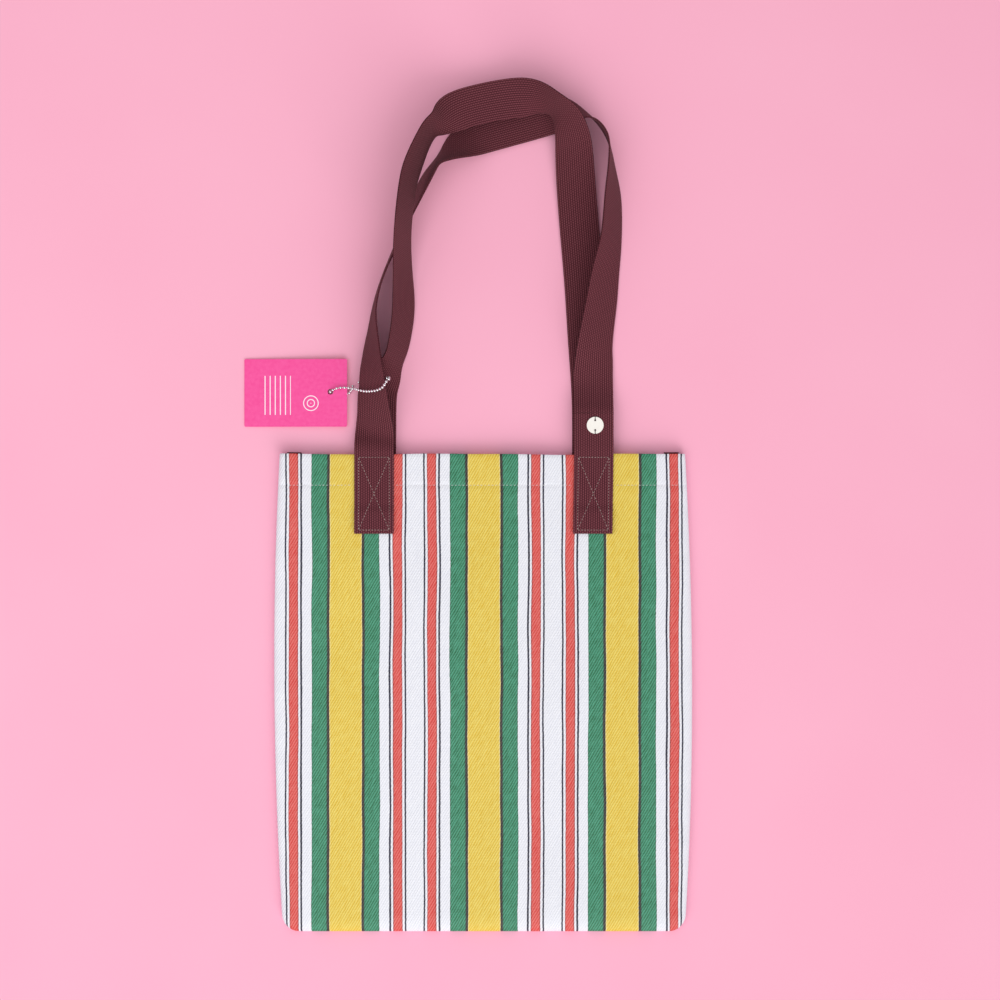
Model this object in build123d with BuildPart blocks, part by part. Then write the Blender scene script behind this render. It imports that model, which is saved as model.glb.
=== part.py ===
from build123d import *
import math
import os

os.makedirs("parts", exist_ok=True)

# The bag lies flat on its back with its mouth and handles towards +Y. The origin is the middle
# of the back panel, on the surface that the bag lies on. Millimetres throughout.

# Driving dimensions of the cloth body
half_height = 195.0
mouth_width = 328.0
belly_width = 341.0
foot_width = 330.0
foot_corner = 14.0
cloth = 1.0
bag_depth = 10.0
edge_slope = 10.0
hem_depth = 27.0
hem_half_width = 148.0
centre_half_width = 66.0
centre_foot = 15.0
panel_gap = 0.6
wall = 1.35 * cloth
mouth_trim = 100.0
tray_overrun = 30.0
hollow_overrun = 20.0
hollow_slope = 9.0
seat_gap = 0.01

# Driving dimensions of the webbing
webbing_width = 32.0
webbing = 1.5
sewn_length = 64.0
turned_under = 17.5
doubled = 2.6
doubled_ramp = 5.0
front_offset = 89.6
back_offset = 88.2
hinge_gap = 1.4

# The two bulges of the back panel over the back handle's sewn ends
pocket_clear = 0.2
pocket_margin = 2.5

# Seam binding tape inside the side seams
tape_width = 12.0
tape_thickness = 1.2
tape_inset = 154.4
tape_peep = 1.0
tape_foot_gap = 12.0
tape_corner = 1.0
tape_lift = 0.4

# Metal disc, swing tag and ball chain
disc_radius = 6.9
disc_thickness = 1.0
disc_rim = 0.3
disc_hole_offset = 4.0
disc_hole_radius = 0.8
disc_above_mouth = 23.8
thread = 0.5
thread_clear = 0.1
tag_length = 84.5
tag_height = 55.5
tag_thickness = 0.6
tag_corner = 1.2
tag_lift = 3.2
tag_hole = (28.6, 0.9)
tag_hole_radius = 2.4
bead_radius = 1.2
link_radius = 0.45
bead_pitch = 3.3
link_clear = 0.04
connector_radius = 2
connector_bore = 1.6
connector_length = 8.0
connector_band = 1.5
connector_slot = 1.1

front_level = bag_depth + webbing / 2 + 0.5
back_level = webbing / 2
loop_start = half_height + hinge_gap

# Routes of the two free handle loops, read from the left sewn end to the right one. Each
# station is the middle of the webbing (x, y, z) and its tilt in degrees: a positive tilt
# raises the edge on the outside of the loop, and a negative one the edge on the inside.
front_route = [
    (-89.6, loop_start, front_level, 0),
    (-89.6, 200.5, front_level, 0),
    (-89.6, 205, 9.7, -3),
    (-89.5, 211, 8.7, -12),
    (-89.4, 219, 10.8, -24),
    (-89.7, 233, 16.5, -35),
    (-90.1, 249, 22.6, -45),
    (-90.6, 261, 26, -51),
    (-90.8, 273, 23.6, -59),
    (-90.7, 285, 19.6, -66),
    (-90.3, 297, 17, -74),
    (-89.6, 310, 16.6, -80),
    (-85.9, 328, 16.6, -83),
    (-78.7, 348, 16.6, -83),
    (-69.6, 368, 16.6, -80),
    (-60.6, 389.5, 16.4, -76),
    (-52.5, 408, 16, -71),
    (-44.7, 423, 16, -71),
    (-38.5, 432, 16, -74),
    (-30.5, 438.5, 14.5, -62),
    (-19.6, 447.5, 9.6, -34),
    (-4.4, 456, 3.4, -9),
    (20, 463.5, 1.8, -3),
    (45, 470.5, 1.8, -3),
    (58, 473.5, 4.4, -12),
    (69, 473.5, 10.8, -38),
    (80, 471.5, 15.6, -67),
    (89, 467.5, 16.6, -81),
    (96.5, 460, 16.8, -86),
    (102, 448.5, 16.8, -86),
    (104, 428, 16.5, -77),
    (105, 404, 15.2, -63),
    (103.7, 371, 14.4, -57),
    (99, 343.5, 12.3, -45),
    (96.2, 321, 11, -38),
    (91, 288, 9.2, -29),
    (90, 272, 7.2, -20),
    (89.5, 258, 5.4, -9),
    (89.6, 247, 5.2, -3),
    (89.6, 239, 7.4, 0),
    (89.6, 232, 10.7, 0),
    (89.6, 228.6, front_level, 0),
    (89.6, 227, front_level, 0),
    (89.6, loop_start, front_level, 0),
]
back_route = [
    (-88.2, loop_start, back_level, 0),
    (-88, 215, 0.9, 0),
    (-87.8, 235, 1.3, 2),
    (-86.5, 250, 3.5, 9),
    (-81.1, 261, 8.6, 28),
    (-75.4, 271, 14, 54),
    (-69.8, 285, 15, 60),
    (-65.9, 305, 15.5, 60),
    (-65.1, 323, 17, 60),
    (-65.4, 340, 23, 64),
    (-65.4, 354, 32.5, 66),
    (-64.8, 366, 43, 68),
    (-63.8, 378, 50.5, 69),
    (-62.4, 393, 49.5, 69),
    (-60.9, 408, 43.5, 69),
    (-56.8, 427, 35, 67),
    (-45, 455.5, 29, 72),
    (-35, 462.5, 26.5, 58),
    (-22, 473.5, 18.5, 14),
    (0, 480.5, 15.5, 5),
    (24, 484.5, 16, 12),
    (42.5, 483.5, 22, 44),
    (57, 477.5, 28.5, 67),
    (67, 466.5, 26.5, 49),
    (71.6, 453, 19, 31),
    (73.4, 441, 12, 20),
    (75.5, 412, 5, 8),
    (78.6, 374, 2.2, 3),
    (82, 335, 1, 0),
    (84.8, 289, 0.9, 0),
    (88, 243, 0.9, 0),
    (88.2, loop_start, back_level, 0),
]
route_steps = 2
chain_steps = 12

# Routes of the ball chain: round the webbing of the front handle's left leg, and to the tag
strap_chain_route = [
    (-105.2, 248.6, 8.6),
    (-102.8, 247.6, 13.4),
    (-97.2, 246.2, 18.8),
    (-91.2, 245.8, 24.8),
    (-85.6, 246.4, 30.3),
    (-80.8, 248.6, 35.4),
    (-78.4, 252.2, 38.4),
    (-76, 254.8, 37),
    (-76.6, 256.2, 33),
    (-82, 255.6, 27.6),
    (-95, 254, 14.8),
    (-100.8, 253.9, 9.4),
    (-104.9, 254.2, 8.2),
]
tag_chain_route = [
    (-107.6, 248.9, 6.4),
    (-112.2, 249.8, 5.7),
    (-118.6, 249.6, 5.5),
    (-122.6, 248.4, 5.2),
    (-124.8, 247, 4.6),
    (-126, 246.4, 2.8),
    (-124.4, 245.6, 1.35),
    (-119, 244.8, 1.3),
    (-112.6, 244.4, 1.4),
    (-109.4, 247, 2),
    (-107.8, 250.6, 3.4),
    (-106.9, 253.8, 5.2),
]
connector_span = (6, 9)


def blend_cubic(before, start, end, after, share):
    """One value on the smooth curve between start and end."""
    return 0.5 * (
        2 * start
        + (end - before) * share
        + (2 * before - 5 * start + 4 * end - after) * share**2
        + (3 * start - before - 3 * end + after) * share**3
    )


def smooth_route(points, steps):
    """A smooth route through the points, with the given number of steps in each span."""
    route = []
    for index in range(len(points) - 1):
        before = points[max(index - 1, 0)]
        start = points[index]
        end = points[index + 1]
        after = points[min(index + 2, len(points) - 1)]
        for step in range(steps):
            corners = zip(before, start, end, after)
            route.append(tuple(blend_cubic(*corner, step / steps) for corner in corners))
    route.append(points[-1])
    return route


def section_plane(route, index):
    """The plane across the webbing at one place on its route, its X along the width."""
    x, y, z, tilt = route[index]
    ahead = route[min(index + 1, len(route) - 1)]
    behind = route[max(index - 1, 0)]
    heading = Vector(ahead[0] - behind[0], ahead[1] - behind[1], 0).normalized()
    lean = math.radians(tilt)
    across = Vector(heading.Y * math.cos(lean), -heading.X * math.cos(lean), -math.sin(lean))
    return Plane(origin=(x, y, z), x_dir=across, z_dir=heading)


def webbing_loop(stations):
    """One free handle loop: a thin band of webbing that turns and tilts along its route."""
    route = smooth_route(stations, route_steps)
    with BuildPart() as loop:
        for index in range(len(route)):
            with BuildSketch(section_plane(route, index)):
                Rectangle(webbing_width, webbing)
        loft(ruled=True)
    return loop.part


def bag_outline(inset, top):
    """The outline of a panel, inset all round, whose mouth edge is carried up to top."""
    foot = half_height - inset
    with BuildSketch() as outline:
        with BuildLine():
            Polyline(
                (mouth_width / 2 - inset, half_height),
                (mouth_width / 2 - inset, top),
                (inset - mouth_width / 2, top),
                (inset - mouth_width / 2, half_height),
            )
            ThreePointArc(
                (inset - mouth_width / 2, half_height),
                (inset - belly_width / 2, 0),
                (inset - foot_width / 2, -foot),
            )
            Line((inset - foot_width / 2, -foot), (foot_width / 2 - inset, -foot))
            ThreePointArc(
                (foot_width / 2 - inset, -foot),
                (belly_width / 2 - inset, 0),
                (mouth_width / 2 - inset, half_height),
            )
        make_face()
        fillet(outline.vertices().group_by(Axis.Y)[0], foot_corner)
    return outline.sketch


def webbing_end(side, base):
    """A sewn handle end: webbing lying on a panel, its raw end turned under at the foot.

    side is the middle of the end along X, and base is the level that it lies on.
    """
    foot = half_height - sewn_length
    with BuildPart() as end:
        with BuildSketch(Plane.YZ.offset(side - webbing_width / 2)):
            with BuildLine():
                Polyline(
                    (half_height, base),
                    (foot, base),
                    (foot, base + doubled),
                    (foot + turned_under, base + doubled),
                    (foot + turned_under + doubled_ramp, base + webbing),
                    (half_height, base + webbing),
                    close=True,
                )
            make_face()
        extrude(amount=webbing_width)
    return end.part


# Cloth shell of the front of the bag: a shallow tray over the back panel, open at the mouth,
# with its hem folded inside along the mouth.
tray_top = half_height + tray_overrun
hollow_top = tray_top + hollow_overrun
with BuildPart() as front_shell:
    with BuildSketch(Plane.XY.offset(cloth)):
        add(bag_outline(0, tray_top))
    with BuildSketch(Plane.XY.offset(bag_depth)):
        add(bag_outline(edge_slope, tray_top))
    loft()
    with BuildSketch(Plane.XY.offset(cloth)):
        add(bag_outline(wall, hollow_top))
    with BuildSketch(Plane.XY.offset(bag_depth - cloth)):
        add(bag_outline(hollow_slope + wall, hollow_top))
    loft(mode=Mode.SUBTRACT)
    with Locations((0, half_height - hem_depth / 2, bag_depth - 1.5 * cloth)):
        Box(2 * hem_half_width, hem_depth, cloth)
    with Locations((0, half_height + mouth_trim / 2, bag_depth / 2)):
        Box(2 * belly_width, mouth_trim, 4 * bag_depth, mode=Mode.SUBTRACT)

# The middle of the front panel, between the handle ends, which lifts to open the mouth.
centre_length = 2 * half_height - centre_foot
with BuildPart() as front_panel_centre:
    add(front_shell.part)
    with Locations((0, half_height - centre_length / 2, bag_depth / 2)):
        Box(2 * centre_half_width, centre_length, 2 * bag_depth, mode=Mode.INTERSECT)
front_panel_centre.part.label = "front_panel_centre"
export_step(front_panel_centre.part, "parts/front_panel_centre.step")

# The rest of the front panel: both sides, down to the side seams, and the foot.
with BuildPart() as front_panel:
    add(front_shell.part)
    with Locations((0, half_height - centre_length / 2, bag_depth / 2)):
        Box(
            2 * (centre_half_width + panel_gap),
            centre_length + 2 * panel_gap,
            2 * bag_depth,
            mode=Mode.SUBTRACT,
        )
front_panel.part.label = "front_panel"
export_step(front_panel.part, "parts/front_panel.step")

# Back panel, the cloth that the bag lies on, bulged up over the back handle's sewn ends.
pocket_width = webbing_width + 2 * pocket_clear
pocket_height = doubled + pocket_clear
pocket_foot = half_height - sewn_length - pocket_clear
bulge_length = half_height - pocket_foot + pocket_margin
with BuildPart() as back_panel:
    with BuildSketch(Plane.XY):
        add(bag_outline(0, half_height + cloth))
    extrude(amount=cloth - seat_gap)
    with Locations(*[(side * back_offset, half_height - bulge_length / 2) for side in (-1, 1)]):
        Box(
            pocket_width + 2 * pocket_margin,
            bulge_length,
            pocket_height + cloth,
            align=(Align.CENTER, Align.CENTER, Align.MIN),
        )
    with Locations(*[(side * back_offset, half_height, 0) for side in (-1, 1)]):
        Box(
            pocket_width,
            2 * (half_height - pocket_foot),
            pocket_height,
            align=(Align.CENTER, Align.CENTER, Align.MIN),
            mode=Mode.SUBTRACT,
        )
    with Locations((0, half_height + mouth_trim / 2, 0)):
        Box(2 * belly_width, mouth_trim, 4 * bag_depth, mode=Mode.SUBTRACT)
back_panel.part.label = "back_panel"
export_step(back_panel.part, "parts/back_panel.step")

# Seam binding tapes, laid along the side seams inside the bag; their ends peep out.
tape_foot = tape_foot_gap - half_height
for name, side in (("left", -1), ("right", 1)):
    tape_length = half_height + tape_peep - tape_foot
    with BuildPart(Plane.XY.offset(cloth + tape_lift)) as seam_binding:
        with Locations((side * tape_inset, tape_foot + tape_length / 2)):
            Box(
                tape_width,
                tape_length,
                tape_thickness,
                align=(Align.CENTER, Align.CENTER, Align.MIN),
            )
        fillet(seam_binding.edges().filter_by(Axis.Z), tape_corner)
    seam_binding.part.label = f"{name}_seam_binding"
    export_step(seam_binding.part, f"parts/{name}_seam_binding.step")

# The four sewn handle ends: two on the front panel and two under the back panel.
for name, side in (("left", -1), ("right", 1)):
    front_end = webbing_end(side * front_offset, bag_depth)
    front_end.label = f"front_handle_{name}_end"
    export_step(front_end, f"parts/front_handle_{name}_end.step")
    back_end = webbing_end(side * back_offset, 0)
    back_end.label = f"back_handle_{name}_end"
    export_step(back_end, f"parts/back_handle_{name}_end.step")

# The two free handle loops.
front_handle = webbing_loop(front_route)
front_handle.label = "front_handle"
export_step(front_handle, "parts/front_handle.step")
back_handle = webbing_loop(back_route)
back_handle.label = "back_handle"
export_step(back_handle, "parts/back_handle.step")

# Round metal disc on the front handle's right leg, with two small holes.
disc_place = (front_offset + 1, half_height + disc_above_mouth)
disc_seat = front_level + webbing / 2
with BuildPart(Plane.XY.offset(disc_seat)) as metal_disc:
    with Locations(disc_place):
        Cylinder(disc_radius, disc_thickness, align=(Align.CENTER, Align.CENTER, Align.MIN))
    fillet(metal_disc.edges().group_by(Axis.Z)[-1], disc_rim)
    with Locations(
        (disc_place[0], disc_place[1] + disc_hole_offset),
        (disc_place[0], disc_place[1] - disc_hole_offset),
    ):
        Cylinder(disc_hole_radius, 4 * disc_thickness, mode=Mode.SUBTRACT)
metal_disc.part.label = "metal_disc"
export_step(metal_disc.part, "parts/metal_disc.step")

# Thread tacks of the disc: each runs up a hole, over the face and down outside the rim.
tack_span = disc_radius - disc_hole_offset + thread
with BuildPart() as disc_threads:
    for way in (-1, 1):
        with BuildSketch(Plane.YZ.offset(disc_place[0] - thread / 2)):
            with Locations((disc_place[1] + way * (disc_hole_offset + tack_span / 2), disc_seat)):
                Rectangle(
                    tack_span + thread,
                    disc_thickness + thread,
                    align=(Align.CENTER, Align.MIN),
                )
                Rectangle(
                    tack_span - thread + thread_clear,
                    disc_thickness + link_clear / 2,
                    align=(Align.CENTER, Align.MIN),
                    mode=Mode.SUBTRACT,
                )
        extrude(amount=thread)
disc_threads.part.label = "disc_threads"
export_step(disc_threads.part, "parts/disc_threads.step")

# Card swing tag, lying beside the left leg with its right edge propped on the chain.
tag_middle = (-154.3, 245.7, 0.1 + tag_lift / 2)
tag_tilt = math.asin(tag_lift / tag_length)
tag_plane = Plane(
    origin=tag_middle,
    x_dir=(math.cos(tag_tilt), 0, math.sin(tag_tilt)),
    z_dir=(-math.sin(tag_tilt), 0, math.cos(tag_tilt)),
)
with BuildPart() as swing_tag:
    with BuildSketch(tag_plane):
        RectangleRounded(tag_length, tag_height, tag_corner)
        with Locations(tag_hole):
            Circle(tag_hole_radius, mode=Mode.SUBTRACT)
    extrude(amount=tag_thickness)
swing_tag.part.label = "swing_tag"
export_step(swing_tag.part, "parts/swing_tag.step")


def bead_places(points):
    """Places of the beads along a route, one pitch apart, first bead on the first point."""
    route = [Vector(*point) for point in smooth_route(points, chain_steps)]
    places = [route[0]]
    for point in route:
        step = point - places[-1]
        while step.length >= bead_pitch:
            places.append(places[-1] + step.normalized() * bead_pitch)
            step = point - places[-1]
    return places


def bead_chain(places):
    """Ball chain: a row of beads with a short loose link between each two."""
    with BuildPart() as chain:
        with Locations(*places):
            Sphere(bead_radius)
        for near, far in zip(places, places[1:]):
            reach = far - near
            start = near + reach.normalized() * (bead_radius + link_clear)
            with BuildSketch(Plane(origin=start, z_dir=reach)):
                Circle(link_radius)
            extrude(amount=reach.length - 2 * (bead_radius + link_clear))
    return chain.part


# The chain in two stretches: the one round the webbing and the one through the tag's hole.
strap_beads = bead_places(strap_chain_route)
chain_round_strap = bead_chain(strap_beads)
chain_round_strap.label = "chain_round_strap"
export_step(chain_round_strap, "parts/chain_round_strap.step")
chain_to_tag = bead_chain(bead_places(tag_chain_route))
chain_to_tag.label = "chain_to_tag"
export_step(chain_to_tag, "parts/chain_to_tag.step")

# Connector: a slotted tube that holds the two ends of the chain together, under the webbing.
first, last = (strap_beads[-place] for place in connector_span)
barrel = Plane(origin=(first + last) * 0.5, z_dir=last - first)
with BuildPart(barrel) as chain_connector:
    Cylinder(connector_radius, connector_length)
    Cylinder(connector_bore, 2 * connector_length, mode=Mode.SUBTRACT)
    with Locations((connector_radius, 0, 0)):
        Box(
            2 * connector_radius,
            connector_slot,
            connector_length - 2 * connector_band,
            mode=Mode.SUBTRACT,
        )
chain_connector.part.label = "chain_connector"
export_step(chain_connector.part, "parts/chain_connector.step")
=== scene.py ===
"""A striped shoulder bag with webbing handles and a card tag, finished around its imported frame."""

import sys

import logging
import math
from dataclasses import dataclass
from enum import Enum

import bmesh
import bpy
from mathutils import Matrix, Vector, noise

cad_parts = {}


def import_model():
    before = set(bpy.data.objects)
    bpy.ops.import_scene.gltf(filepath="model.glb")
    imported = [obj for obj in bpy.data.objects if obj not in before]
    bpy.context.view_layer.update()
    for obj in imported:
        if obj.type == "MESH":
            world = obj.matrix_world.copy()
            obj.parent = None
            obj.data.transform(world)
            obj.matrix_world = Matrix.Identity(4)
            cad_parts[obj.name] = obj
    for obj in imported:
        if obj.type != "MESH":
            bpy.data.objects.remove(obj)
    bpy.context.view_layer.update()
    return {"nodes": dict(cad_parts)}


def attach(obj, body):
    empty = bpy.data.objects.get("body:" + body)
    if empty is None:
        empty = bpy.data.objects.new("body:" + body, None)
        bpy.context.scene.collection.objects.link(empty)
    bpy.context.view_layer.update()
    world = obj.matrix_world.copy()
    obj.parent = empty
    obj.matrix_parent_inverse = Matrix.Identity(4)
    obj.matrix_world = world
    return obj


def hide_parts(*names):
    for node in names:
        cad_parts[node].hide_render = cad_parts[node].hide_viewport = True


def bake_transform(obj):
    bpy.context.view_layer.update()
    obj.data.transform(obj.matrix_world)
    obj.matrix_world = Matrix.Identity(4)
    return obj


MM = 0.001
ROLL_FULLNESS = 2.3
WEAVE_UV = "weave"

log = logging.getLogger("bag")

Colour = tuple[float, float, float, float]
Station = tuple[float, float, float, float]


class Body(Enum):
    """The moving bodies that pieces ride on."""

    BAG = "bag"
    MOUTH = "mouth"
    HANDLES = "handles"


class Side(Enum):
    """The two sides of the bag, by the sign of X."""

    LEFT = -1
    RIGHT = 1


def hex_colour(code: str) -> Colour:
    """Turns an sRGB hex colour to the linear colour that a shader takes.

    Args:
        code: Six hex digits.

    Returns:
        Linear red, green, blue and an alpha of one.
    """
    channels = []
    for start in (0, 2, 4):
        value = int(code[start : start + 2], 16) / 255
        channels.append(value / 12.92 if value <= 0.04045 else ((value + 0.055) / 1.055) ** 2.4)
    return (channels[0], channels[1], channels[2], 1.0)


def add_node(
    tree: bpy.types.NodeTree, kind: str, inputs: dict | None = None, **settings: object
) -> bpy.types.Node:
    """Adds one shader node with its settings and its inputs.

    Args:
        tree: The node tree that it goes into.
        kind: The node's type, without the ShaderNode prefix.
        inputs: For each named or numbered input a value, an output, or a node, which stands
            for its first output.
        settings: Properties of the node itself.

    Returns:
        The new node.
    """
    node = tree.nodes.new("ShaderNode" + kind)
    for name, value in settings.items():
        setattr(node, name, value)
    for key, value in (inputs or {}).items():
        source = value.outputs[0] if isinstance(value, bpy.types.Node) else value
        if isinstance(source, bpy.types.NodeSocket):
            tree.links.new(source, node.inputs[key])
        else:
            node.inputs[key].default_value = source
    return node


def smooth_share(value: float, start: float, end: float) -> float:
    """A share from 0 at start to 1 at end, eased at both."""
    share = min(1.0, max(0.0, (value - start) / (end - start)))
    return share * share * (3 - 2 * share)


def swell(distance: float, roll: float) -> float:
    """How far a rolled edge has risen at a distance from it: 0 on the edge, 1 past the roll."""
    share = min(1.0, max(0.0, distance / roll))
    return (1 - (1 - share) ** ROLL_FULLNESS) ** (1 / ROLL_FULLNESS)


def make_piece(
    name: str, shape: bmesh.types.BMesh, material: bpy.types.Material, smooth: bool = True
) -> bpy.types.Object:
    """Makes an object of a finished shape and puts it in the scene.

    Args:
        name: The piece's name.
        shape: The shape, in metres, which is freed.
        material: The finish that all of it has.
        smooth: Whether its faces are shaded smooth.

    Returns:
        The new object, at the origin.
    """
    mesh = bpy.data.meshes.new(name)
    shape.to_mesh(mesh)
    shape.free()
    mesh.materials.append(material)
    mesh.polygons.foreach_set("use_smooth", [smooth] * len(mesh.polygons))
    piece = bpy.data.objects.new(name, mesh)
    bpy.context.scene.collection.objects.link(piece)
    log.info("%s: %d faces", name, len(mesh.polygons))
    return piece


def give_thickness(piece: bpy.types.Object, thickness: float, offset: float) -> None:
    """Gives a sheet its thickness, in metres, on the side that offset says."""
    wall = piece.modifiers.new("thickness", "SOLIDIFY")
    wall.thickness = thickness
    wall.offset = offset
    wall.use_even_offset = False


def round_edges(piece: bpy.types.Object, width: float) -> None:
    """Rounds a piece's sharp edges to a width in metres."""
    bevel = piece.modifiers.new("rounded edges", "BEVEL")
    bevel.width = width
    bevel.segments = 2
    bevel.limit_method = "ANGLE"
    bevel.angle_limit = math.radians(50)


def blend_cubic(before: float, start: float, end: float, after: float, share: float) -> float:
    """One value on the smooth curve between start and end."""
    return 0.5 * (
        2 * start
        + (end - before) * share
        + (2 * before - 5 * start + 4 * end - after) * share**2
        + (3 * start - before - 3 * end + after) * share**3
    )


def smooth_route(stations: list[Station], steps: int) -> list[list[float]]:
    """Runs a smooth route through stations.

    Args:
        stations: The places that it passes through, as tuples of numbers.
        steps: How many steps it takes from one station to the next.

    Returns:
        The route's places, as lists of the same numbers.
    """
    route = []
    for index in range(len(stations) - 1):
        corners = (
            stations[max(index - 1, 0)],
            stations[index],
            stations[index + 1],
            stations[min(index + 2, len(stations) - 1)],
        )
        for step in range(steps):
            route.append([blend_cubic(*values, step / steps) for values in zip(*corners)])
    route.append(list(stations[-1]))
    return route


def relax_route(route: list[list[float]], rounds: int) -> list[list[float]]:
    """Evens out a route, whose two ends stay where they are."""
    for _ in range(rounds):
        relaxed = [route[0]]
        for before, here, after in zip(route, route[1:], route[2:]):
            relaxed.append([0.25 * (a + 2 * b + c) for a, b, c in zip(before, here, after)])
        relaxed.append(route[-1])
        route = relaxed
    return route


# ---------------------------------------------------------------------------------------------
# Finishes
# ---------------------------------------------------------------------------------------------


@dataclass(frozen=True)
class Finish:
    """What every finish has: its name, and how dull and how glossy it is."""

    name: str
    roughness: float
    specular: float = 0.5

    def start(self) -> tuple[bpy.types.Material, bpy.types.NodeTree, bpy.types.Node]:
        """Starts the finish's material.

        Returns:
            The material, its node tree and its shader node.
        """
        material = bpy.data.materials.new(self.name)
        material.use_nodes = True
        tree = material.node_tree
        shader = tree.nodes["Principled BSDF"]
        shader.inputs["Roughness"].default_value = self.roughness
        shader.inputs["Specular IOR Level"].default_value = self.specular
        return material, tree, shader

    def cover(
        self,
        shader: bpy.types.Node,
        colour: bpy.types.NodeSocket,
        height: bpy.types.Node | bpy.types.NodeSocket,
        depth: float,
        strength: float = 1.0,
    ) -> None:
        """Gives the shader its colour and its relief.

        Args:
            shader: The shader node.
            colour: The output that holds the colour.
            height: What the relief follows, from 0 in a hollow to 1 on a crown.
            depth: The relief's depth, in mm.
            strength: How much of the relief shows.
        """
        tree = shader.id_data
        inputs = {"Height": height, "Distance": depth * MM, "Strength": strength}
        relief = add_node(tree, "Bump", inputs)
        tree.links.new(colour, shader.inputs["Base Color"])
        tree.links.new(relief.outputs[0], shader.inputs["Normal"])


@dataclass(frozen=True)
class StripedTwill(Finish):
    """Twill woven of flat polypropylene yarn, striped along its length.

    The stiff, slightly shiny yarns lie in steep diagonal ribs, so a stripe looks streaked: each
    rib's colour is painted lighter on its crown as a painted highlight and darker in its groove as
    painted shade, broken up by random streaks, and the edges between colours waver by a yarn. The
    ribs are drawn slightly coarser than real ones, so that they show. Sizes are in mm.
    """

    name: str = "polypropylene twill, striped"
    roughness: float = 0.46
    half_repeat: float = 56.4
    rib_spacing: float = 2.2
    rib_slant: float = 0.577
    rib_height: float = 0.22
    yarn_crossing: float = 1.3
    warp_wander: float = 2.4
    edge_step: float = 0.4
    white: str = "EEF0F6"
    cream: str = "F0DC8C"
    yellow: str = "E8CC4C"
    charcoal: str = "2A2622"
    green: str = "2F8A64"
    deep_green: str = "257052"
    navy: str = "1E1E34"
    red: str = "E0564E"
    brick: str = "B4443F"

    def stripes(self) -> list[tuple[float, str]]:
        """The stripes from the middle of a yellow one outwards, as start in mm and colour."""
        return [
            (0.0, self.yellow),
            (12.5, self.cream),
            (13.2, self.charcoal),
            (15.1, self.deep_green),
            (15.8, self.green),
            (26.9, self.deep_green),
            (27.7, self.white),
            (35.4, self.navy),
            (36.8, self.white),
            (38.5, self.brick),
            (39.3, self.red),
            (45.5, self.brick),
            (46.2, self.white),
            (47.9, self.navy),
            (49.3, self.white),
        ]

    def material(self) -> bpy.types.Material:
        """Builds the material, which reads the cloth's flat place in metres from its UV map."""
        material, tree, shader = self.start()
        place = add_node(tree, "UVMap", uv_map=WEAVE_UV)
        flat = add_node(tree, "VectorMath", {0: place, "Scale": 1 / MM}, operation="SCALE")
        axes = add_node(tree, "SeparateXYZ", {0: flat})
        across, along = axes.outputs[0], axes.outputs[1]

        # The warp wanders slowly, and each stripe's edge steps in and out by a yarn.
        wanders = (
            (self.warp_wander, (0.03, 0.014, 1), 1.0),
            (self.edge_step, (0.2, 0.42, 1), 0.0),
        )
        shifted = across
        for reach, stretch, detail in wanders:
            spot = add_node(tree, "VectorMath", {0: flat, 1: stretch}, operation="MULTIPLY")
            field = add_node(tree, "TexNoise", {"Vector": spot, "Scale": 1.0, "Detail": detail})
            moved = add_node(
                tree, "Math", {0: field, 1: reach, 2: shifted}, operation="MULTIPLY_ADD"
            )
            shifted = add_node(tree, "Math", {0: moved, 1: reach / 2}, operation="SUBTRACT")
        mirrored = add_node(tree, "Math", {0: shifted, 1: self.half_repeat}, operation="PINGPONG")
        share = add_node(tree, "Math", {0: mirrored, 1: self.half_repeat}, operation="DIVIDE")
        ramp = add_node(tree, "ValToRGB", {0: share})
        ramp.color_ramp.interpolation = "CONSTANT"
        stops = ramp.color_ramp.elements
        for index, (start, colour) in enumerate(self.stripes()):
            stop = stops[index] if index < 2 else stops.new(start / self.half_repeat)
            stop.position = start / self.half_repeat
            stop.color = hex_colour(colour)

        # Steep diagonal ribs, broken up where the yarns cross.
        slanted = add_node(
            tree, "Math", {0: along, 1: -self.rib_slant, 2: across}, operation="MULTIPLY_ADD"
        )
        streak_place = add_node(tree, "CombineXYZ", {0: slanted, 1: along})
        streak_scaled = add_node(
            tree, "VectorMath", {0: streak_place, 1: (0.7, 0.16, 1)}, operation="MULTIPLY"
        )
        streak = add_node(tree, "TexNoise", {"Vector": streak_scaled, "Scale": 1.0, "Detail": 2.0})
        turn = add_node(
            tree, "Math", {0: slanted, 1: 2 * math.pi / self.rib_spacing}, operation="MULTIPLY"
        )
        jitter = add_node(tree, "Math", {0: streak, 1: 4.0, 2: turn}, operation="MULTIPLY_ADD")
        wave = add_node(tree, "Math", {0: jitter}, operation="SINE")
        rib = add_node(tree, "Math", {0: wave, 1: 0.5, 2: 0.5}, operation="MULTIPLY_ADD")
        knot_turn = add_node(
            tree, "Math", {0: along, 1: 2 * math.pi / self.yarn_crossing}, operation="MULTIPLY"
        )
        knot_wave = add_node(tree, "Math", {0: knot_turn}, operation="SINE")
        knotted = add_node(tree, "Math", {0: knot_wave, 1: 0.12, 2: rib}, operation="MULTIPLY_ADD")
        # The rib height and random streaks mix each stripe's colour from a darker copy, as painted
        # shade in the grooves, to a lighter copy, as a painted highlight on the crowns.
        streak_and_rib_level = add_node(tree, "Math", {0: streak, 1: 1.5, 2: knotted}, operation="MULTIPLY_ADD")
        streak_and_painted_light_share = add_node(tree, "MapRange", {0: streak_and_rib_level, 1: 0.6, 2: 1.85, 3: 0.0, 4: 1.0})
        # groove is the darker copy of the stripe colours: painted shade for the rib grooves.
        groove = add_node(tree, "Gamma", {0: ramp, 1: 1.5})
        painted_rib_highlight = add_node(tree, "Gamma", {0: ramp, 1: 0.74})
        colour = add_node(tree, "Mix", {0: streak_and_painted_light_share, 6: groove, 7: painted_rib_highlight}, data_type="RGBA")
        self.cover(shader, colour.outputs[2], knotted, self.rib_height)
        return material


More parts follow.
